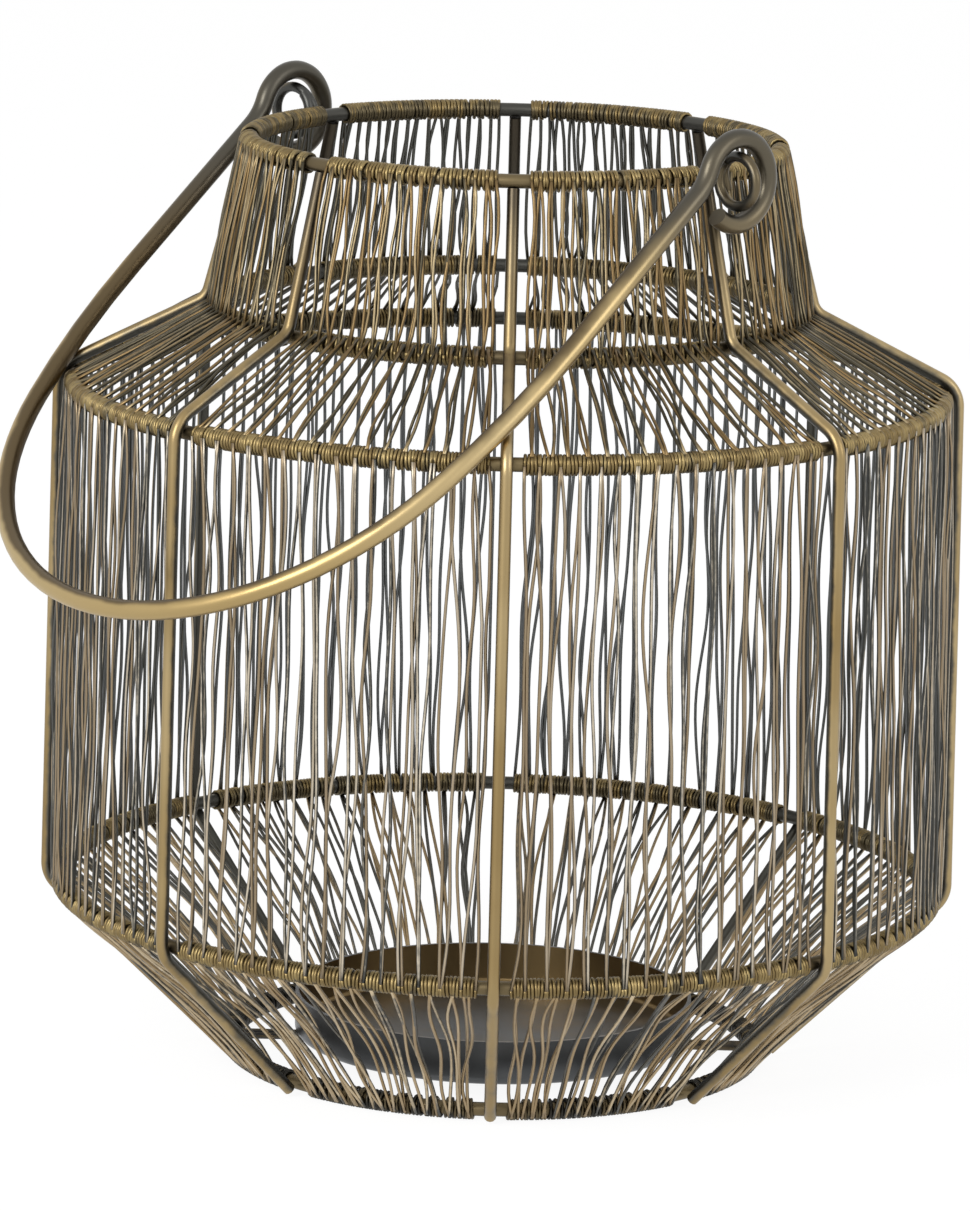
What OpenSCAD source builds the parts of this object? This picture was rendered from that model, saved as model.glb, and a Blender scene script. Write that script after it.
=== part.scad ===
// Wire lantern: five wound hoops on eight bent ribs, a candle dish on a rod cross,
// and a bail handle hung from two welded ears.
// The origin is on the lantern's axis, at the plane it stands on. +Z is up, +X runs
// along the handle's hinge line, and the handle rests leaning out over -Y.

/* [Frame wires] */
// Diameter of the hoop wire
hoop_d = 4; // [3:0.25:5]
// Diameter of the rib wire
rib_d = 3.5; // [2.5:0.25:4.5]
// Diameter of the rods across the base
rod_d = 3; // [2:0.25:4]

/* [Profile] */
// Radius of the rim hoop at the mouth
rim_r = 76; // [70:1:90]
// Height of the rim hoop above the table
rim_z = 268; // [250:1:330]
// Radius of the neck hoop
neck_r = 84.5; // [78:0.5:100]
// Height of the neck hoop
neck_z = 220; // [200:1:235]
// Radius of the shoulder hoop
shoulder_r = 125; // [110:1:150]
// Height of the shoulder hoop
shoulder_z = 197.5; // [165:0.5:205]
// Radius of the belly hoop
belly_r = 127; // [105:1:155]
// Height of the belly hoop
belly_z = 51.5; // [40:0.5:65]
// Radius of the base hoop that the lantern stands on
base_r = 76.5; // [68:0.5:95]

/* [Rib bends] */
// Bend radius of a rib at the neck
neck_bend = 6; // [4:0.5:8]
// Bend radius of a rib at the shoulder
shoulder_bend = 9; // [6:0.5:14]
// Bend radius of a rib at the belly
belly_bend = 9; // [6:0.5:14]
// How far a rib stops short of its lowest touch on the base hoop
foot_back = 3; // [2:0.5:6]

/* [Winding] */
// Diameter of the thin wire wound round the hoops
strand_d = 1; // [0.6:0.1:1.2]
// Number of strands between two ribs
strands_per_bay = 34; // [10:1:36]
// Bare hoop left on each side of a rib
bare_w = 2.5; // [1:0.5:5]

/* [Candle dish] */
// Radius inside the dish wall
dish_bore_r = 57; // [40:1:62]
// Thickness of the dish sheet
dish_wall = 1; // [0.8:0.1:2]
// Height of the dish from its underside to its rim
dish_h = 13; // [9:0.5:25]
// Inside radius of the dish's bottom corner
dish_corner = 1.5; // [0.5:0.5:3]

/* [Handle] */
// Diameter of the handle wire
handle_d = 5.5; // [4:0.25:6]
// Reach of the handle from its hinge line to its middle
handle_reach = 193; // [160:1:230]
// Length of a leg from the hinge line to where the bow starts
handle_leg = 74; // [60:1:90]
// How much smaller the bow's radius is than half the spread of its legs
bow_ease = 4; // [2:0.5:8]
// How far in front of the hinge line the legs run
leg_out = 8; // [4:0.5:10]
// Bend radius of the neck between an eye and its leg
eye_neck_r = 16; // [12:1:20]
// How far round the hinge line an eye is bent
eye_sweep = 290; // [270:5:300]

/* [Ears] */
// Diameter of the ear wire
ear_d = 3; // [2.5:0.25:3.5]
// Radius of an ear ring, at the middle of the wire
ear_r = 7; // [5:0.25:7.25]
// Stem between an ear ring and the rim
ear_stem = 3.5; // [1:0.1:5]
// How far the ears sit below the rim hoop's centre
ear_drop = 0; // [0:0.25:2]

/* [Clearances] */
// Gap at each welded or wound seat
weld_gap = 0.2; // [0.1:0.05:0.4]
// Gap under the wound wire, round a hoop
wrap_gap = 0.1; // [0.05:0.05:0.2]
// Gap between the end of a strand and the turns it comes from
strand_gap = 0.3; // [0.2:0.1:0.6]
// Gap between the resting handle and the ribs that carry it
rest_gap = 0.3; // [0.2:0.1:0.6]
// Play between an ear and the eye round it
eye_play = 0.75; // [0.5:0.05:1.5]

/* [Hidden] */
BAYS = 8;
bay_angle = 360 / BAYS;

wrap_r = hoop_d / 2 + wrap_gap + strand_d;
base_z = wrap_r;

// Hoop centres in the plane of a rib, as [radius, height]
rim = [rim_r, rim_z];
neck = [neck_r, neck_z];
shoulder = [shoulder_r, shoulder_z];
belly = [belly_r, belly_z];
base = [base_r, base_z];

// Distance from a hoop's centre to the centre of a rib that is welded to it
rib_seat = hoop_d / 2 + weld_gap + rib_d / 2;
rod_end = base_r - hoop_d / 2 - weld_gap;
dish_z = base_z + rod_d / 2 + weld_gap;
dish_r = dish_bore_r + dish_wall;

// The ears stand in front of their ribs, on the bare rim beside its turns
hinge_x = rim_r + hoop_d / 2 + weld_gap + ear_stem + ear_d / 2 + ear_r;
hinge_y = ear_d / 2 + weld_gap - rib_d / 2 - bare_w;
hinge_z = rim_z - ear_drop;

eye_r = ear_r + ear_d / 2 + eye_play + handle_d / 2;
// The neck of an eye meets the line of its leg this far along from the hinge line
neck_reach = sqrt(pow(eye_r + eye_neck_r, 2) - pow(leg_out + eye_neck_r, 2));
eye_start = atan2(leg_out + eye_neck_r, neck_reach);
// The bow is one arc in its middle and a wider arc down to each leg
bow_r = hinge_x - bow_ease;
bow_y = handle_reach - bow_r;
side_r = (pow(hinge_x, 2) + pow(bow_y - handle_leg, 2) - pow(bow_r, 2)) / (2 * bow_ease);

// The straight runs and bends of a wire stop this far from where they meet, and a short
// collar just over the wire's size makes them one
joint_cut = 0.05;
collar_over = 0.1;
collar_w = 0.8;

// A wire's route is a list of bends [x, y, radius, turn]: turn is 1 to the left and
// -1 to the right, and the two ends are bends of radius 0.
function left_of(v) = [-v[1], v[0]];
function unit(v) = v / norm(v);
function offset_of(bend) = bend[2] * bend[3];
function heading(from, to) =
    let (
        d = [to[0] - from[0], to[1] - from[1]],
        k = offset_of(to) - offset_of(from),
        run = sqrt(max(0, d * d - k * k))
    )
    (run * d - k * left_of(d)) / (d * d);
function touch(bend, v) = [bend[0], bend[1]] - offset_of(bend) * left_of(v);
function turn_angle(v, w) = atan2(v[0] * w[1] - v[1] * w[0], v * w);

// A bent wire is made as a list of steps [run, roll, radius, turn]: go straight on, roll
// about the wire's own line, and bend to the left (or to the right, for a minus turn).
function steps_of(route) =
    let (last = len(route) - 1)
    [for (i = [1:last])
        let (
            v = heading(route[i - 1], route[i]),
            w = i < last ? heading(route[i], route[i + 1]) : v
        )
        [norm(touch(route[i], v) - touch(route[i - 1], v)), 0, route[i][2], turn_angle(v, w)]
    ];

// Outward normal of the line between two hoops, and between two such lines
function outward(upper, lower) = left_of(unit(lower - upper));
function outward_at(above, here, below) =
    unit(outward(above, here) + outward(here, below));

// A bend that holds its hoop on the inside, with the wire seated on the hoop
function bend_over(above, here, below, radius) =
    let (c = here - (radius - rib_seat) * outward_at(above, here, below))
    [c[0], c[1], radius, -1];

rib_route =
    let (
        neck_centre = neck + (neck_bend + rib_seat) * outward_at(rim, neck, shoulder),
        down = unit(base - belly),
        foot = base + rib_seat * left_of(down) - foot_back * down
    )
    [
        [rim_r, rim_z - hoop_d / 2 - weld_gap, 0, 1],
        [neck_centre[0], neck_centre[1], neck_bend, 1],
        bend_over(neck, shoulder, belly, shoulder_bend),
        bend_over(shoulder, belly, base, belly_bend),
        [foot[0], foot[1], 0, 1]
    ];

rib_start = heading(rib_route[0], rib_route[1]);

// One side of the handle, 1 or -1, from the middle of its bow to the tail of its eye
side_angle = atan2(bow_y - handle_leg, side_r - hinge_x);
function handle_steps(side) = [
    [0, 0, bow_r, side_angle - 90],
    [0, 0, side_r, -side_angle],
    [handle_leg - neck_reach, -90 * side, eye_neck_r, 90 - eye_start],
    [0, 0, eye_r, -eye_sweep]
];

// The handle leans out until its legs lie on the shoulder of the cage, on its ribs or on
// its wound wire. x of the middle of a leg, this far along from the hinge line:
function leg_x(along) =
    along < handle_leg ? hinge_x
        : along < bow_y + bow_r * sin(side_angle)
            ? hinge_x - side_r + sqrt(pow(side_r, 2) - pow(along - handle_leg, 2))
        : sqrt(max(0, pow(bow_r, 2) - pow(along - bow_y, 2)));

// Distance outside the rounded shoulder of a rib, from [radius, height] in its plane
function outside_shoulder(p) =
    let (
        bend = bend_over(neck, shoulder, belly, shoulder_bend),
        q = p - [bend[0], bend[1]],
        above = outward(neck, shoulder),
        below = outward(shoulder, belly),
        on_bend = q * left_of(above) < 0 && q * left_of(below) > 0
    )
    (on_bend ? norm(q) : max(q * above, q * below)) - shoulder_bend;

// Gap between a point in the middle of a leg, [x, -y, z], and the cage's shoulder
function point_gap(p) =
    min(concat(
        [norm([norm([p[0], p[1]]) - shoulder_r, p[2] - shoulder_z]) - wrap_r],
        [for (a = [0:bay_angle:90])
            norm([
                outside_shoulder([p[0] * cos(a) + p[1] * sin(a), p[2]]),
                p[1] * cos(a) - p[0] * sin(a)
            ]) - rib_d / 2]
    )) - handle_d / 2;
function gap_at(lean) =
    let (level = (hinge_z + leg_out * sin(lean) - shoulder_z) / cos(lean))
    min(concat([handle_reach], [for (along = [max(0, level - 25):1:min(handle_reach, level + 10)])
        point_gap([
            leg_x(along),
            leg_out * cos(lean) + along * sin(lean) - hinge_y,
            hinge_z + leg_out * sin(lean) - along * cos(lean)
        ])
    ]));
function lean_between(low, high, steps) =
    let (middle = (low + high) / 2)
    steps == 0 ? middle
        : gap_at(middle) > rest_gap ? lean_between(low, middle, steps - 1)
        : lean_between(middle, high, steps - 1);
function first_lean(lean) =
    gap_at(lean - 1) > rest_gap ? first_lean(lean - 1) : lean_between(lean - 1, lean, 16);
rest_lean = first_lean(80);

module straight_wire(from, to, d) {
    v = to - from;
    translate([from[0], from[1], 0])
        rotate([0, 0, atan2(v[1], v[0])])
            rotate([0, 90, 0])
                cylinder(d = d, h = norm(v), $fn = 24);
}

module wire_collar(d) {
    rotate([0, 90, 0])
        cylinder(d = d + collar_over, h = collar_w, center = true, $fn = 24);
}

// One bend of a round wire, from the origin and heading along +X
module bend_wire(radius, turn, d) {
    side = sign(turn);
    cut = asin(joint_cut / radius);
    translate([0, side * radius, 0])
        rotate([0, 0, side * (cut - 90)])
            rotate_extrude(angle = turn - 2 * side * cut, $fn = 96)
                translate([radius, 0])
                    circle(d = d, $fn = 24);
}

// A round wire along a list of steps, from the origin and heading along +X
module wire(steps, d, i = 0) {
    run = steps[i][0];
    turn = steps[i][3];
    bend = [0, sign(turn) * steps[i][2], 0];
    if (run > 0)
        straight_wire([joint_cut, 0], [run - joint_cut, 0], d);
    if (turn != 0)
        translate([run, 0, 0])
            rotate([steps[i][1], 0, 0]) {
                if (run > 0)
                    wire_collar(d);
                bend_wire(steps[i][2], turn, d);
                if (i < len(steps) - 1)
                    translate(bend)
                        rotate([0, 0, turn])
                            translate(-bend) {
                                wire_collar(d);
                                wire(steps, d, i + 1);
                            }
            }
}

module hoop(at) {
    color([0.42, 0.36, 0.22])
        translate([0, 0, at[1]])
            rotate_extrude($fn = 120)
                translate([at[0], 0])
                    circle(d = hoop_d, $fn = 24);
}

// The turns of thin wire round a hoop, as one sleeve in each bay
module wrap(at) {
    bare = asin((rib_d / 2 + bare_w) / at[0]);
    color([0.45, 0.38, 0.2])
        for (i = [0:BAYS - 1])
            translate([0, 0, at[1]])
                rotate([0, 0, i * bay_angle + bare])
                    rotate_extrude(angle = bay_angle - 2 * bare, $fn = 120)
                        translate([at[0], 0])
                            difference() {
                                circle(r = wrap_r, $fn = 24);
                                circle(r = wrap_r - strand_d, $fn = 24);
                            }
}

module rib(i) {
    color([0.68, 0.58, 0.38])
        rotate([0, 0, (i - 1) * bay_angle])
            rotate([90, 0, 0])
                translate([rib_route[0][0], rib_route[0][1], 0])
                    rotate([0, 0, atan2(rib_start[1], rib_start[0])])
                        wire(steps_of(rib_route), rib_d);
}

// A round wire between two points in space, cut short at both ends
module taut_wire(from, to, d, inset) {
    v = to - from;
    translate(from + inset * unit(v))
        rotate([0, acos(v[2] / norm(v)), atan2(v[1], v[0])])
            cylinder(d = d, h = norm(v) - 2 * inset, $fn = 24);
}

// Where strand k of a bay crosses a hoop, in the plane of the hoop
function bare_angle(at) = asin((rib_d / 2 + bare_w + strand_d / 2) / at[0]);
function strand_point(at, bay, k) =
    let (
        free = bare_angle(at),
        a = (bay - 1) * bay_angle + free
            + k * (bay_angle - 2 * free) / (strands_per_bay - 1)
    )
    [at[0] * cos(a), at[0] * sin(a), at[1]];

// The strands of one bay between two hoops, from one hoop's turns to the next one's
module strands(i, upper, lower) {
    color([0.5, 0.43, 0.28])
        for (k = [0:strands_per_bay - 1])
            taut_wire(
                strand_point(upper, i, k), strand_point(lower, i, k),
                strand_d, wrap_r + strand_gap
            );
}

module rod(angle, from_r, to_r) {
    color([0.3, 0.27, 0.2])
        translate([0, 0, base_z])
            rotate([0, 0, angle])
                straight_wire([from_r, 0], [to_r, 0], rod_d);
}

// Outline of the dish, with a rounded bottom corner, from its axis out to radius r
module dish_outline(r, bottom, corner) {
    top = dish_z + dish_h;
    translate([0, bottom])
        square([r - corner, top - bottom]);
    translate([0, bottom + corner])
        square([r, top - bottom - corner]);
    translate([r - corner, bottom + corner])
        circle(r = corner, $fn = 32);
}

module candle_dish() {
    color([0.32, 0.26, 0.16])
        rotate_extrude($fn = 120)
            difference() {
                dish_outline(dish_r, dish_z, dish_corner + dish_wall);
                dish_outline(dish_bore_r, dish_z + dish_wall, dish_corner);
            }
}

// An ear ring in the plane of its rib, on a short stem that is welded to the rim
module ear(side) {
    color([0.35, 0.32, 0.25])
        translate([side * hinge_x, hinge_y, hinge_z])
            rotate([90, 0, 0]) {
                rotate_extrude($fn = 96)
                    translate([ear_r, 0])
                        circle(d = ear_d, $fn = 24);
                straight_wire(
                    [-side * ear_r, 0], [-side * (ear_r + ear_d / 2 + ear_stem), 0], ear_d
                );
            }
}

module handle() {
    color([0.6, 0.48, 0.25])
        translate([0, hinge_y, hinge_z])
            rotate([-90 - rest_lean, 0, 0])
                translate([0, handle_reach, -leg_out]) {
                    wire_collar(handle_d);
                    for (side = [-1, 1])
                        rotate([0, 90 - 90 * side, 0])
                            wire(handle_steps(side), handle_d);
                }
}

hoop(rim);  // rim_hoop
hoop(neck);  // neck_hoop
hoop(shoulder);  // shoulder_hoop
hoop(belly);  // belly_hoop
hoop(base);  // base_hoop
wrap(rim);  // rim_wrap
wrap(neck);  // neck_wrap
wrap(shoulder);  // shoulder_wrap
wrap(belly);  // belly_wrap
wrap(base);  // base_wrap
for (i = [1:BAYS]) {
    rib(i);
    strands(i, rim, neck);
    strands(i, neck, shoulder);
    strands(i, shoulder, belly);
    strands(i, belly, base);
}
rod(bay_angle, -rod_end, rod_end);  // cross_rod
rod(3 * bay_angle, rod_d / 2 + weld_gap, rod_end);  // half_rod_1
rod(7 * bay_angle, rod_d / 2 + weld_gap, rod_end);  // half_rod_2
candle_dish();
ear(-1);  // ear_left
ear(1);  // ear_right
handle();
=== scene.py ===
import bpy
import math
import random
from mathutils import Matrix, Vector


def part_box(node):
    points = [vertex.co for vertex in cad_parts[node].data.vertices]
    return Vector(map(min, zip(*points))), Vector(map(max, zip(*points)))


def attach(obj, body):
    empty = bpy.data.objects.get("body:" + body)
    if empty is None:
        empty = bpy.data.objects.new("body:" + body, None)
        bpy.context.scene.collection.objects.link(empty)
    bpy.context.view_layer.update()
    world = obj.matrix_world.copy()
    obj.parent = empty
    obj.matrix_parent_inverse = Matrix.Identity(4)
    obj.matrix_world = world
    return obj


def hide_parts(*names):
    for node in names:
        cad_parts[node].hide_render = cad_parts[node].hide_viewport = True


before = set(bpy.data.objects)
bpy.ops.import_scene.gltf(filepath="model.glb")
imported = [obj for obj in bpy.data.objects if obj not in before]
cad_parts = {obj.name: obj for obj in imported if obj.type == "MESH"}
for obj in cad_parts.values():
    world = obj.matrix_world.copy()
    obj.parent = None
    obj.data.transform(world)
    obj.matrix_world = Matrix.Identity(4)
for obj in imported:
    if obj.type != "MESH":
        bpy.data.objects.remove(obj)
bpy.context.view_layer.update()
bpy.context.scene.view_settings.view_transform = "Standard"


# Studio: a white table that runs on into a white room, one large soft lamp to the front
# left and a weaker one to the right. The table keeps a faint shadow of the lantern.
table_size = 12.0
table_white = 0.9
table_glow = 1.08
glow_share = 0.85
room_light = 0.55
room_white = 1.0
lantern_middle = (0, 0, 0.14)


def feed(tree, node, inputs):
    """Give a node's inputs their numbers or colours, or link them to other nodes."""
    for key, value in inputs.items():
        if isinstance(value, bpy.types.NodeSocket):
            tree.links.new(value, node.inputs[key])
        else:
            node.inputs[key].default_value = value


def maths(tree, operation, *values):
    """The output of a Math node on numbers or on the outputs of other nodes."""
    node = tree.nodes.new("ShaderNodeMath")
    node.operation = operation
    feed(tree, node, dict(enumerate(values)))
    return node.outputs[0]


def remap(tree, value, old=(0, 1), new=(0, 1), smooth=False):
    """A value brought from one range to another, and held at the new range's ends."""
    node = tree.nodes.new("ShaderNodeMapRange")
    if smooth:
        node.interpolation_type = "SMOOTHSTEP"
    feed(tree, node, {"Value": value, "From Min": old[0], "From Max": old[1],
                      "To Min": new[0], "To Max": new[1]})
    return node.outputs[0]


def seen_by(tree, rays):
    """One for light rays of the kinds in a list, and nothing for any other."""
    light_path = tree.nodes.new("ShaderNodeLightPath")
    seen = light_path.outputs[rays[0]]
    for ray in rays[1:]:
        seen = maths(tree, "MAXIMUM", seen, light_path.outputs[ray])
    return seen


def soft_lamp(name, place, aim, width, power):
    """A square studio lamp that looks at a point."""
    bpy.ops.object.light_add(type="AREA", location=place)
    lamp = bpy.context.object
    lamp.name = name
    lamp.data.size = width
    lamp.data.energy = power
    lamp.rotation_euler = (Vector(aim) - Vector(place)).to_track_quat("-Z", "Y").to_euler()


bpy.ops.object.select_all(action="DESELECT")
bpy.ops.mesh.primitive_plane_add(size=table_size, location=(0, 0, 0))
table = bpy.context.object
table.name = "studio_table"

table_paint = bpy.data.materials.new("table_paint")
table_paint.use_nodes = True
tree = table_paint.node_tree
tree.nodes.clear()
matt = tree.nodes.new("ShaderNodeBsdfDiffuse")
feed(tree, matt, {"Color": (table_white, table_white, table_white, 1)})
glow = tree.nodes.new("ShaderNodeEmission")
feed(tree, glow, {"Color": (1, 1, 1, 1), "Strength": table_glow})
direct = seen_by(tree, ["Is Camera Ray", "Is Glossy Ray"])
share = maths(tree, "MULTIPLY", direct, glow_share)
blend = tree.nodes.new("ShaderNodeMixShader")
feed(tree, blend, {0: share, 1: matt.outputs[0], 2: glow.outputs[0]})
out = tree.nodes.new("ShaderNodeOutputMaterial")
feed(tree, out, {"Surface": blend.outputs[0]})
table.data.materials.append(table_paint)

world = bpy.data.worlds.new("studio_air")
bpy.context.scene.world = world
world.use_nodes = True
tree = world.node_tree
tree.nodes.clear()
clear = seen_by(tree, ["Is Camera Ray", "Is Glossy Ray", "Is Transmission Ray"])
level = remap(tree, clear, new=(room_light, room_white))
air = tree.nodes.new("ShaderNodeBackground")
feed(tree, air, {"Color": (1, 1, 1, 1), "Strength": level})
out = tree.nodes.new("ShaderNodeOutputWorld")
feed(tree, out, {"Surface": air.outputs[0]})

soft_lamp("front_lamp", place=(0.4, -1.9, 1.1), aim=lantern_middle, width=1.0, power=26)
soft_lamp("side_lamp", place=(1.7, 0.5, 0.9), aim=lantern_middle, width=0.9, power=6)


# Camera: a long lens two metres off, a little above the rim and turned 45 degrees round
# from the handle's side. It leans slightly, so the lantern's foot shifts to the left.
lens_mm = 262.8
sensor_mm = 36
stand_off = 2.0131
stand_round = math.radians(45)
camera_height = 0.5404
tilt_down = 11.439
heading = 45.149
camera_lean = 1.418

bpy.ops.object.camera_add()
camera = bpy.context.object
camera.data.sensor_fit = "HORIZONTAL"
camera.data.sensor_width = sensor_mm
camera.data.lens = lens_mm
camera.data.clip_start = 0.1
camera_place = Vector(
    (stand_off * math.sin(stand_round), -stand_off * math.cos(stand_round), camera_height))
camera.matrix_world = (
    Matrix.Translation(camera_place)
    @ Matrix.Rotation(math.radians(heading), 4, "Z")
    @ Matrix.Rotation(math.radians(90 - tilt_down), 4, "X")
    @ Matrix.Rotation(math.radians(camera_lean), 4, "Z")
)
bpy.context.scene.camera = camera


# Hoops: five rings of drawn wire, butt welded and finished in antique brass. They show
# bare only for a few millimetres at each rib; the rest is under the wound wire.
HOOPS = ["rim", "neck", "shoulder", "belly", "base"]
merged_within = 0.000005
smooth_below = math.radians(40)

# The finish of all the brass, with its painted light and shade: how gradually it turns
# from black or painted shade to metal and painted light, how much a wire's own tone counts
# in that and in its dullness, where dull patches and the painted shade of the inside start
# and end, how ragged the soot's edge is, how far the roughness varies, and how fine and
# deep the streaks are.
bright_span = 0.75
tone_rub = 2.0
tone_share = 0.6
worn_patches = (0.35, 0.65)
patch_size = 9
turned_away = (-0.3, -0.8)
ragged_edge = 0.04
smoother = 0.08
rougher = 0.12
streak_detail = 3.0
streak_depth = 0.0002
streak_strength = 0.25


def hoop_size(name):
    """The radius, height and wire thickness of a hoop, from its frame node."""
    low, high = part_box(name + "_hoop")
    thick = high[2] - low[2]
    return high[0] - thick / 2, (high[2] + low[2]) / 2, thick


def vector_maths(tree, operation, *values):
    """A Vector Math node on vectors or on the outputs of other nodes."""
    node = tree.nodes.new("ShaderNodeVectorMath")
    node.operation = operation
    feed(tree, node, dict(enumerate(values)))
    return node


def colour_mix(tree, share, first, second):
    """The colour that lies between two others, by a share of the second."""
    node = tree.nodes.new("ShaderNodeMix")
    node.data_type = "RGBA"
    feed(tree, node, {"Factor": share, "A": first, "B": second})
    return node.outputs["Result"]


def antique(name, bright, worn, dark, rough, bright_from=0.35, streak=260.0, toned=False,
            outer=1.0, lit_and_rubbed_side=(0, 0, 0.35), inside=None, kept_dark=1.1,
            blackened=None, soot=(0.075, 0.076, 0.070)):
    """Antique brass: a blackened wire rubbed back to metal on the side that faces out, with
    painted light on that side and painted shade on the sides that turn away from it.

    bright and worn are the colours of rubbed and lit metal, in fresh and in dulled patches.
    dark is the colour where it is still black or in painted shade, and rough is its middle
    roughness.
    lit_and_rubbed_side is the side that is lit and rubbed most, together with outer times
    the way out from the middle, and bright_from is how far a surface has to face it before
    metal and painted light show.
    streak is how fine the streaks are that drawing and rubbing have left.
    toned is for a mesh of many wires, where each is rubbed as its own tone says.
    kept_dark is how far the darkest of many toned wires stays from being rubbed.
    inside is the colour, a painted shade, of the side that faces the middle, where it isn't
    dark.
    blackened is the height where a wire starts to stay dark, the height where it is
    darkest, and how dark it is there, from 0 to 1. soot is the colour it has there."""
    paint = bpy.data.materials.new(name)
    paint.use_nodes = True
    tree = paint.node_tree
    metal = tree.nodes["Principled BSDF"]
    place = tree.nodes.new("ShaderNodeTexCoord")

    # Painted light and shade: a surface that faces out, and towards the given side, is painted
    # as bright metal. One that turns away is painted dark. Both lie over the real rubbed
    # patina.
    flat = vector_maths(tree, "MULTIPLY", place.outputs["Object"], (1, 1, 0))
    away = vector_maths(tree, "NORMALIZE", flat.outputs[0])
    spread = vector_maths(
        tree, "MULTIPLY_ADD", away.outputs[0], (outer, outer, outer), lit_and_rubbed_side)
    faced = vector_maths(tree, "DOT_PRODUCT", spread.outputs[0], place.outputs["Normal"])
    facing = faced.outputs["Value"]

    fine = tree.nodes.new("ShaderNodeTexNoise")
    feed(tree, fine, {"Vector": place.outputs["Object"], "Scale": streak,
                      "Detail": streak_detail})
    streaks = fine.outputs["Fac"]
    broad = tree.nodes.new("ShaderNodeTexNoise")
    feed(tree, broad, {"Vector": place.outputs["Object"], "Scale": streak / patch_size})
    patches = broad.outputs["Fac"]

    lit_and_worn = maths(tree, "ADD", facing, streaks)
    dulled = patches
    if toned:
        attribute = tree.nodes.new("ShaderNodeAttribute")
        attribute.attribute_name = "tone"
        tone = attribute.outputs["Fac"]
        by_wire = maths(tree, "MULTIPLY_ADD", tone, tone_rub, -kept_dark)
        lit_and_worn = maths(tree, "ADD", lit_and_worn, by_wire)
        by_patch = maths(tree, "MULTIPLY", patches, 1 - tone_share)
        dulled = maths(tree, "MULTIPLY_ADD", tone, tone_share, by_patch)
    metal_shown = remap(tree, lit_and_worn, old=(bright_from, bright_from + bright_span), smooth=True)
    metal_worn = remap(tree, dulled, old=worn_patches)
    brassy = colour_mix(tree, metal_worn, (*bright, 1), (*worn, 1))

    # Painted shade: where no metal shows, the wire is black, and its side that faces the middle
    # takes the inside colour as a painted shade.
    shaded_or_black = (*dark, 1)
    if inside:
        turned_in = remap(tree, facing, old=[outer * limit for limit in turned_away])
        shaded_or_black = colour_mix(tree, turned_in, (*dark, 1), (*inside, 1))
    aged_and_shaded = colour_mix(tree, metal_shown, shaded_or_black, brassy)
    if blackened:
        start, darkest, depth = blackened
        parts = tree.nodes.new("ShaderNodeSeparateXYZ")
        feed(tree, parts, {0: place.outputs["Object"]})
        ragged = maths(tree, "MULTIPLY_ADD", patches, ragged_edge, parts.outputs["Z"])
        between = (start + ragged_edge / 2, darkest + ragged_edge / 2)
        sooty = remap(tree, ragged, old=between, new=(0, depth), smooth=True)
        aged_and_shaded = colour_mix(tree, sooty, aged_and_shaded, (*soot, 1))

    roughness = remap(tree, streaks, new=(rough - smoother, rough + rougher))
    drawn = tree.nodes.new("ShaderNodeBump")
    feed(tree, drawn, {"Strength": streak_strength, "Distance": streak_depth,
                       "Height": streaks})
    feed(tree, metal, {"Base Color": aged_and_shaded, "Metallic": 1.0, "Roughness": roughness,
                       "Normal": drawn.outputs[0]})
    return paint


def smooth_copy(node, paint, name):
    """A frame node's own shape, merged and smoothed, to show in its place."""
    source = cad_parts[node]
    bpy.ops.object.select_all(action="DESELECT")
    piece = source.copy()
    piece.data = source.data.copy()
    piece.name = name
    bpy.context.collection.objects.link(piece)
    piece.parent = None
    piece.matrix_world = Matrix.Identity(4)
    piece.hide_render = False
    bpy.context.view_layer.objects.active = piece
    piece.select_set(True)
    bpy.ops.object.mode_set(mode="EDIT")
    bpy.ops.mesh.select_all(action="SELECT")
    bpy.ops.mesh.remove_doubles(threshold=merged_within)
    bpy.ops.object.mode_set(mode="OBJECT")
    bpy.ops.object.shade_smooth_by_angle(angle=smooth_below)
    piece.data.materials.clear()
    piece.data.materials.append(paint)
    return piece


# Painted light on the side of each hoop that faces out and up, and painted shade on its other
# sides.
hoop_metal = antique(
    "hoop_metal", bright=(0.19, 0.145, 0.075), worn=(0.11, 0.085, 0.05),
    dark=(0.07, 0.068, 0.06), rough=0.4)
for hoop in HOOPS:
    ring = smooth_copy(hoop + "_hoop", hoop_metal, hoop + "_ring")
    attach(ring, "cage")
    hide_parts(hoop + "_hoop")


# Ribs: eight bent wires outside the hoops, spot welded at each crossing. Pale brass on the
# outside, partly rubbed metal and partly painted light, with painted shade along their sides
# and on the inside.
rib_thick = 0.0035
weld_gap = 0.0002
neck_bend = 0.006
shoulder_bend = 0.009
belly_bend = 0.009
foot_back = 0.003
RIBS = 8
bend_parts = 12
wire_merged_within = 0.00001
wire_smooth_below = math.radians(50)


def left_of(v):
    """A flat direction turned a quarter turn to the left."""
    return Vector((-v.y, v.x))


def run_between(start, end):
    """The heading of the straight run that touches two bends, [place, radius, side]."""
    d = end[0] - start[0]
    k = end[1] * end[2] - start[1] * start[2]
    run = math.sqrt(d.dot(d) - k * k)
    return (run * d - k * left_of(d)) / d.dot(d)


def bent_route(bends):
    """Places along a flat wire that runs straight from bend to bend.

    A bend's side is 1 where its centre is on the left of the wire, and -1 on the right."""
    ways = [run_between(a, b) for a, b in zip(bends, bends[1:])]
    route = [bends[0][0]]
    for (centre, radius, side), v, w in zip(bends[1:-1], ways, ways[1:]):
        turn = math.atan2(v.x * w.y - v.y * w.x, v.dot(w))
        for n in range(bend_parts + 1):
            spoke = Matrix.Rotation(turn * n / bend_parts, 2) @ left_of(v)
            route.append(centre - radius * side * spoke)
    route.append(bends[-1][0])
    return route


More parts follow.
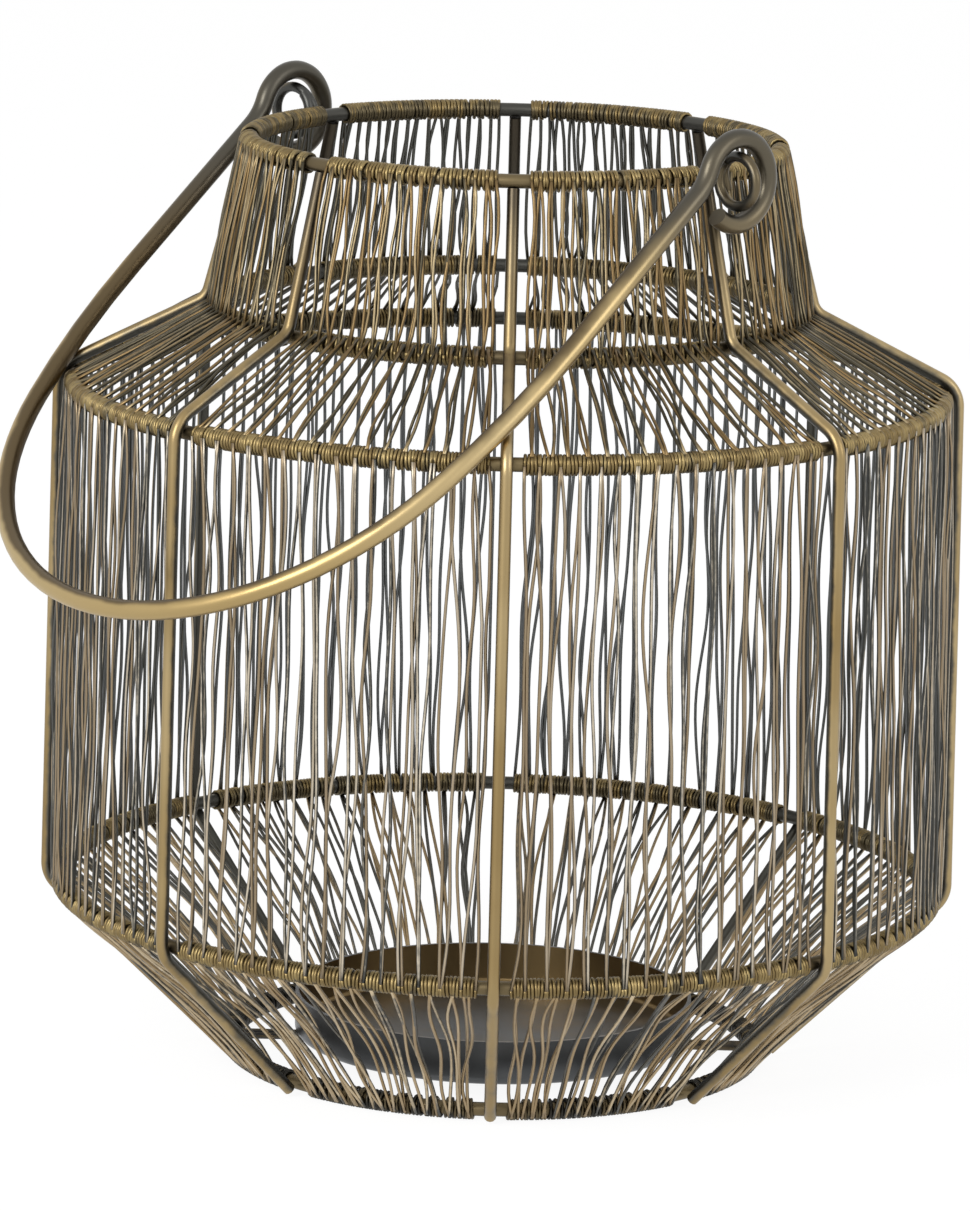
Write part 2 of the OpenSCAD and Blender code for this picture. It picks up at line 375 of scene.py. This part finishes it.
def wires_along(name, paths, thick, sides, capped):
    """Round wires along a list of paths, as one mesh."""
    bpy.ops.object.select_all(action="DESELECT")
    bpy.ops.curve.primitive_nurbs_path_add()
    curve = bpy.context.object.data
    curve.splines.clear()
    curve.dimensions = "3D"
    curve.bevel_depth = thick / 2
    curve.bevel_resolution = sides
    curve.use_fill_caps = capped
    for path in paths:
        run = curve.splines.new("POLY")
        run.points.add(len(path) - 1)
        for spot, place in zip(run.points, path):
            spot.co = (*place, 1)
    bpy.ops.object.convert(target="MESH")
    piece = bpy.context.object
    piece.name = name
    return piece


def bent_wire(name, path, thick, paint, sides=4):
    """A thick round wire along a path, with its ends cut square."""
    piece = wires_along(name, [path], thick, sides, capped=True)
    bpy.ops.object.mode_set(mode="EDIT")
    bpy.ops.mesh.select_all(action="SELECT")
    bpy.ops.mesh.remove_doubles(threshold=wire_merged_within)
    bpy.ops.mesh.normals_make_consistent(inside=False)
    bpy.ops.object.mode_set(mode="OBJECT")
    bpy.ops.object.shade_smooth_by_angle(angle=wire_smooth_below)
    piece.data.materials.clear()
    piece.data.materials.append(paint)
    return piece


rim, neck, shoulder, belly, base = [Vector(hoop_size(name)[:2]) for name in HOOPS]
hoop_thick = hoop_size("rim")[2]
rib_seat = hoop_thick / 2 + weld_gap + rib_thick / 2


def outward(above, here, below):
    """The direction that faces out from the cage at a hoop, between its two runs."""
    over = left_of((here - above).normalized())
    under = left_of((below - here).normalized())
    return (over + under).normalized()


foot_way = (base - belly).normalized()
rib_bends = [
    (Vector((rim.x, rim.y - hoop_thick / 2 - weld_gap)), 0, 1),
    (neck + (neck_bend + rib_seat) * outward(rim, neck, shoulder), neck_bend, 1),
    (shoulder - (shoulder_bend - rib_seat) * outward(neck, shoulder, belly), shoulder_bend, -1),
    (belly - (belly_bend - rib_seat) * outward(shoulder, belly, base), belly_bend, -1),
    (base + rib_seat * left_of(foot_way) - foot_back * foot_way, 0, 1),
]
rib_route = bent_route(rib_bends)
# Painted light on the outside of the ribs, and painted shade along their sides and inside.
rib_metal = antique(
    "rib_metal", bright=(0.43, 0.330, 0.175), worn=(0.29, 0.205, 0.09),
    dark=(0.085, 0.082, 0.070), rough=0.36, bright_from=0.40, streak=170.0, lit_and_rubbed_side=(0, 0, 0.15),
    blackened=(0.205, 0.266, 0.95), soot=(0.075, 0.062, 0.045))
for i in range(1, RIBS + 1):
    turned = math.radians(360 / RIBS * (i - 1))
    path = [(p.x * math.cos(turned), p.x * math.sin(turned), p.y) for p in rib_route]
    rib = bent_wire(f"rib_wire_{i}", path, rib_thick, rib_metal)
    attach(rib, "cage")
    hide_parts(f"rib_{i}")


# Thin wire: 272 lengths of soft wire, each wound about two or three turns round a hoop,
# pulled down to the next and wound again. Hand work leaves them wandering and bunched.
BAYS = 8
WIRES = 34
thin_d = 0.001
thin_corners = 6
bare = 0.0025
tone_luck = 0.15

# Each zone between two hoops: the steps in a run of wire, and the standing waves that it
# wanders in, how large and how many. It moves in and out by a share of that, and may sag.
zone_names = ["neck", "shoulder", "belly", "foot"]
zone_steps = [10, 10, 30, 18]
zone_wander = [0.0009, 0.0007, 0.0013, 0.0013]
zone_waves = [3, 3, 6, 3]
wave_fall = 0.9
wander_depth = 0.5
zone_sag = [0, 0, 0, 0.0032]
sag_luck = (0.5, 1.3)
sag_low = 1.2

# Wires bunch in threes, and none strays far past the end wires of its bay.
GATHERED = 3
gather_most = 0.0011
room_each = 0.0019
room_at_end = 0.001

# Turns round each hoop from the rim down. Some wires have one turn more or one fewer, and
# at the rim and the base their ends are left tucked in at these angles above level.
turns_at = [2, 2, 3, 3, 2]
often_longer = ["shoulder", "belly"]
longer_chance = 0.45
shorter_chance = 0.12
turn_parts = 12
wound_gap = 0.0001
pitch_luck = (0.96, 1.08)
aside_luck = 0.0002
first_tail = math.radians(225)
last_tail = math.radians(200)

luck = random.Random(41)
sizes = [hoop_size(name) for name in HOOPS]
winding = [thick / 2 + wound_gap + thin_d / 2 for _, _, thick in sizes]


def outward_angle(upper, lower):
    """The angle above level of the line that faces out from a run between two hoops."""
    return math.atan2(lower[0] - upper[0], upper[1] - lower[1])


leave = [outward_angle(upper, lower) for upper, lower in zip(sizes, sizes[1:])]


def stand(hoop, bay, k):
    """The azimuth of a wire at a hoop: evenly spaced between the bare ends of its bay."""
    free = math.asin((rib_thick / 2 + bare + thin_d / 2) / sizes[hoop][0])
    step = (2 * math.pi / BAYS - 2 * free) / (WIRES - 1)
    return bay * 2 * math.pi / BAYS + free + k * step


def point(radius, height, azimuth, aside):
    """A place given by radius, height and azimuth, moved sideways along the hoop."""
    c = math.cos(azimuth)
    s = math.sin(azimuth)
    return (radius * c - aside * s, radius * s + aside * c, height)


def coil(hoop, azimuth, start, sweep, aside, advance):
    """Turns of wire round a hoop, clockwise from an angle, moving sideways as they go."""
    radius, height, _ = sizes[hoop]
    steps = max(turn_parts // 2, round(sweep / (2 * math.pi) * turn_parts))
    path = []
    for n in range(steps + 1):
        t = n / steps
        a = start - sweep * t
        r = radius + winding[hoop] * math.cos(a)
        z = height + winding[hoop] * math.sin(a)
        path.append(point(r, z, azimuth, aside + advance * (t - 0.5)))
    return path


def waves(amount, count):
    """Heights of the first few standing waves of a slack wire."""
    return [luck.gauss(0, amount) / n ** wave_fall for n in range(1, count + 1)]


def wave_sum(heights, t):
    """How far all the waves together move a slack wire, part of the way along it."""
    return sum(h * math.sin((n + 1) * math.pi * t) for n, h in enumerate(heights))


def strand(zone, top_azimuth, low_azimuth, top_aside, low_aside, room, gather):
    """One run of thin wire from a hoop to the next, wandering about its straight line."""
    top = sizes[zone]
    low = sizes[zone + 1]
    a = leave[zone]
    steps = zone_steps[zone]
    count = zone_waves[zone]
    side = waves(zone_wander[zone], count)
    side[0] += gather
    depth = waves(zone_wander[zone] * wander_depth, count)
    sag = zone_sag[zone] * luck.uniform(*sag_luck)
    r0 = top[0] + winding[zone] * math.cos(a)
    r1 = low[0] + winding[zone + 1] * math.cos(a)
    z0 = top[1] + winding[zone] * math.sin(a)
    z1 = low[1] + winding[zone + 1] * math.sin(a)
    path = []
    for n in range(steps + 1):
        t = n / steps
        out_by = wave_sum(depth, t) - sag * math.sin(math.pi * t ** sag_low)
        r = r0 + (r1 - r0) * t + out_by * math.cos(a)
        z = z0 + (z1 - z0) * t + out_by * math.sin(a)
        aside = top_aside + (low_aside - top_aside) * t + wave_sum(side, t)
        aside = max(room[0], min(room[1], aside))
        path.append(point(r, z, top_azimuth + (low_azimuth - top_azimuth) * t, aside))
    return path


def wire_mesh(name, paths, tones, paint):
    """Thin wires along a list of paths, as one mesh with a tone for each wire."""
    piece = wires_along(name, paths, thin_d, sides=1, capped=False)
    mesh = piece.data
    tone = mesh.attributes.new("tone", "FLOAT", "POINT")
    at = 0
    for path, value in zip(paths, tones):
        for n in range(len(path) * thin_corners):
            tone.data[at + n].value = value
        at += len(path) * thin_corners
    if at != len(mesh.vertices):
        raise ValueError(f"{name}: {len(mesh.vertices)} corners where {at} were expected")
    bpy.ops.object.mode_set(mode="EDIT")
    bpy.ops.mesh.select_all(action="SELECT")
    bpy.ops.mesh.fill_holes(sides=thin_corners)
    bpy.ops.mesh.select_all(action="SELECT")
    bpy.ops.mesh.normals_make_consistent(inside=False)
    bpy.ops.object.mode_set(mode="OBJECT")
    bpy.ops.object.shade_smooth()
    mesh.materials.clear()
    mesh.materials.append(paint)
    return piece


runs = {(zone, bay): [] for zone in range(len(zone_names)) for bay in range(BAYS)}
run_tones = {key: [] for key in runs}
coils = {hoop: [] for hoop in range(len(HOOPS))}
coil_tones = {hoop: [] for hoop in coils}
for bay in range(BAYS):
    for k in range(WIRES):
        tone = luck.random()
        arrive_aside = []
        leave_aside = []
        for hoop, name in enumerate(HOOPS):
            way = 1 if (hoop + k) % 2 else -1
            turns = turns_at[hoop]
            if name in often_longer:
                turns += luck.random() < longer_chance
            elif luck.random() < shorter_chance:
                turns -= 1
            start = leave[hoop - 1] if name != "rim" else first_tail
            end = leave[hoop] if name != "base" else last_tail
            sweep = (start - end) % (2 * math.pi) + 2 * math.pi * (turns - 1)
            advance = way * sweep / (2 * math.pi) * thin_d * luck.uniform(*pitch_luck)
            aside = luck.gauss(0, aside_luck)
            # The first and last wires of a bay wind away from the bare hoop beside them.
            if k == 0:
                aside = abs(advance) / 2
            if k == WIRES - 1:
                aside = -abs(advance) / 2
            arrive_aside.append(aside - advance / 2)
            leave_aside.append(aside + advance / 2)
            coils[hoop].append(coil(hoop, stand(hoop, bay, k), start, sweep, aside, advance))
            coil_tones[hoop].append(tone)
        room = (-k * room_each - room_at_end, (WIRES - 1 - k) * room_each + room_at_end)
        for zone in range(len(zone_names)):
            from_middle = (k + bay + zone) % GATHERED - GATHERED // 2
            gather = -from_middle * luck.uniform(0, gather_most)
            runs[zone, bay].append(strand(
                zone, stand(zone, bay, k), stand(zone + 1, bay, k),
                leave_aside[zone], arrive_aside[zone + 1], room, gather))
            run_tones[zone, bay].append(luck.gauss(tone, tone_luck))

# The wires are painted light on the side that faces out and up, and painted shade on their
# sides. Their inside is painted in a grey shade. The foot's wires show the most painted light,
# as lit by the table below.
upper_metal = antique(
    "upper_wire_metal", bright=(0.370, 0.300, 0.180), worn=(0.22, 0.150, 0.070),
    dark=(0.078, 0.068, 0.046), rough=0.4, bright_from=0.30, streak=400.0, toned=True,
    inside=(0.120, 0.120, 0.108), outer=1.5, kept_dark=1.6)
lower_metal = antique(
    "lower_wire_metal", bright=(0.57, 0.505, 0.400), worn=(0.29, 0.225, 0.145),
    dark=(0.086, 0.086, 0.078), rough=0.4, bright_from=0.30, streak=400.0, toned=True,
    inside=(0.165, 0.172, 0.172), outer=1.5, kept_dark=1.6)
foot_metal = antique(
    "foot_wire_metal", bright=(0.60, 0.495, 0.335), worn=(0.34, 0.250, 0.140),
    dark=(0.105, 0.102, 0.090), rough=0.4, bright_from=-0.10, streak=400.0, toned=True,
    inside=(0.140, 0.138, 0.125))
# The turns are painted light on top and outside, and painted shade underneath and inside. The
# base hoop's turns are darker all over.
base_turn_metal = antique(
    "base_turn_metal", bright=(0.20, 0.160, 0.090), worn=(0.10, 0.078, 0.045),
    dark=(0.035, 0.033, 0.028), rough=0.4, bright_from=0.60, streak=500.0, toned=True,
    outer=0.7, lit_and_rubbed_side=(0, 0, 0.3))
turn_metal = antique(
    "turn_metal", bright=(0.33, 0.250, 0.115), worn=(0.20, 0.145, 0.065),
    dark=(0.105, 0.085, 0.050), rough=0.4, bright_from=-0.15, streak=500.0, toned=True,
    outer=0.7, lit_and_rubbed_side=(0, 0, 0.5))
zone_metals = [upper_metal, upper_metal, lower_metal, foot_metal]

for (zone, bay), paths in runs.items():
    node = f"{zone_names[zone]}_strands_{bay + 1}"
    piece = wire_mesh(node + "_wires", paths, run_tones[zone, bay], zone_metals[zone])
    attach(piece, "cage")
    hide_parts(node)

for hoop, paths in coils.items():
    node = f"{HOOPS[hoop]}_wrap"
    metal = base_turn_metal if HOOPS[hoop] == "base" else turn_metal
    piece = wire_mesh(f"{HOOPS[hoop]}_turns", paths, coil_tones[hoop], metal)
    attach(piece, "cage")
    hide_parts(node)


# Foot: a cross of three rods in the plane of the base hoop, welded at their ends, and the
# candle dish that is pressed from sheet and welded on top of them.
# Painted light on the side of the rods that faces out and up, and painted shade on the rest.
rod_metal = antique(
    "rod_metal", bright=(0.14, 0.11, 0.07), worn=(0.09, 0.075, 0.05),
    dark=(0.04, 0.04, 0.04), rough=0.45)
for node in ["cross_rod", "half_rod_1", "half_rod_2"]:
    rod = smooth_copy(node, rod_metal, node + "_bar")
    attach(rod, "cage")
    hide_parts(node)

# The dish is painted light on the side that faces the middle, and painted in a blue-grey shade
# on the side that faces out.
dish_metal = antique(
    "dish_metal", bright=(0.24, 0.165, 0.075), worn=(0.15, 0.105, 0.05),
    dark=(0.085, 0.088, 0.090), rough=0.3, bright_from=0.4, streak=60.0, outer=-1.0,
    lit_and_rubbed_side=(0, 0, 0))
dish = smooth_copy("candle_dish", dish_metal, "pressed_dish")
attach(dish, "cage")
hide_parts("candle_dish")


# Ears: two rings of wire bent round a former, in front of the ribs on the bare rim. The
# ends of the wire are lapped under the ring and welded to the rim hoop.
ear_thick = 0.003
ear_parts = 56
lap = math.radians(70)
lap_aside = 0.0028
lap_fade = 3.2
end_drop = 0.0005
ear_start = math.radians(182) + lap / 4
# Painted light on the side of the ears that faces out and up, and painted shade on the rest.
ear_metal = antique(
    "ear_metal", bright=(0.24, 0.19, 0.115), worn=(0.13, 0.105, 0.065),
    dark=(0.07, 0.07, 0.065), rough=0.36, bright_from=0.5, streak=220.0)
low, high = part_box("ear_right")
ear_ring = (high.z - low.z - ear_thick) / 2
hinge = Vector((high.x - ear_ring - ear_thick / 2, (low.y + high.y) / 2, (low.z + high.z) / 2))
weld_x = rim.x + hoop_thick / 2 + weld_gap
for node, side in [("ear_left", -1), ("ear_right", 1)]:
    path = [(side * weld_x, hinge.y + lap_aside, hinge.z - end_drop)]
    for n in range(ear_parts + 1):
        t = n / ear_parts
        a = ear_start - (2 * math.pi + lap) * t
        x = side * (hinge.x + ear_ring * math.cos(a))
        beside = lap_aside * max(0, 1 - t * lap_fade) ** 2
        path.append((x, hinge.y + beside, hinge.z + ear_ring * math.sin(a)))
    ear = bent_wire(node + "_ring", path, ear_thick, ear_metal)
    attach(ear, "cage")
    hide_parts(node)


# Handle: one thick wire bent to a long bow, with an eye at each end that is closed round
# its ear. Painted shade along the top and painted light along the underside, as lit from below.
handle_thick = 0.0055
handle_reach = 0.193
handle_leg = 0.074
leg_out = 0.008
bow_ease = 0.004
eye_neck = 0.016
eye_ring = 0.012
eye_sweep = math.radians(290)
parts_per_radian = 14
fewest_parts = 4
shortest_part = 0.0003

bow = hinge.x - bow_ease
bow_centre = handle_reach - bow
side_bend = (hinge.x ** 2 + (bow_centre - handle_leg) ** 2 - bow ** 2) / (2 * bow_ease)
side_turn = math.atan2(bow_centre - handle_leg, side_bend - hinge.x)
neck_reach = math.sqrt((eye_ring + eye_neck) ** 2 - (leg_out + eye_neck) ** 2)
eye_start = math.atan2(leg_out + eye_neck, neck_reach)

low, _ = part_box("handle")
bow_forward = hinge.y - low.y - handle_thick / 2
reach_out = math.hypot(leg_out, handle_reach)
lean = math.asin(bow_forward / reach_out) - math.atan2(leg_out, handle_reach)
down = Vector((0, -math.sin(lean), -math.cos(lean)))
front = Vector((0, -math.cos(lean), math.sin(lean)))


def bend_steps(place, way, left, steps):
    """Places along a wire made in steps of a straight run, a roll and a bend."""
    path = []
    for run, roll, radius, turn in steps:
        place = place + run * way
        left = Matrix.Rotation(roll, 3, way) @ left
        axis = way.cross(left)
        centre = place + math.copysign(radius, turn) * left
        count = max(fewest_parts, round(abs(turn) * parts_per_radian))
        for n in range(count + 1):
            path.append(centre + Matrix.Rotation(turn * n / count, 3, axis) @ (place - centre))
        place = path[-1]
        way = Matrix.Rotation(turn, 3, axis) @ way
        left = Matrix.Rotation(turn, 3, axis) @ left
    return path


middle_of_bow = Vector((0, hinge.y, hinge.z)) + handle_reach * down + leg_out * front
halves = []
for side in (-1, 1):
    halves.append(bend_steps(middle_of_bow, Vector((side, 0, 0)), down, [
        (0, 0, bow, side_turn - math.pi / 2),
        (0, 0, side_bend, -side_turn),
        (handle_leg - neck_reach, -math.pi / 2 * side, eye_neck, math.pi / 2 - eye_start),
        (0, 0, eye_ring, -eye_sweep),
    ]))
path = []
for place in halves[0][::-1] + halves[1]:
    if not path or (place - path[-1]).length > shortest_part:
        path.append(place)
# Painted light and shade: the handle is painted bright along its underside and outward side and
# dark along its top.
handle_metal = antique(
    "handle_metal", bright=(0.52, 0.405, 0.215), worn=(0.40, 0.285, 0.120),
    dark=(0.125, 0.092, 0.050), rough=0.34, bright_from=0.10, streak=70.0, outer=0.6,
    lit_and_rubbed_side=(-0.1, -0.3, -0.9), blackened=(0.232, 0.270, 0.90),
    soot=(0.082, 0.078, 0.066))
bail = bent_wire("bail", path, handle_thick, handle_metal, sides=6)
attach(bail, "handle")
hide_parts("handle")
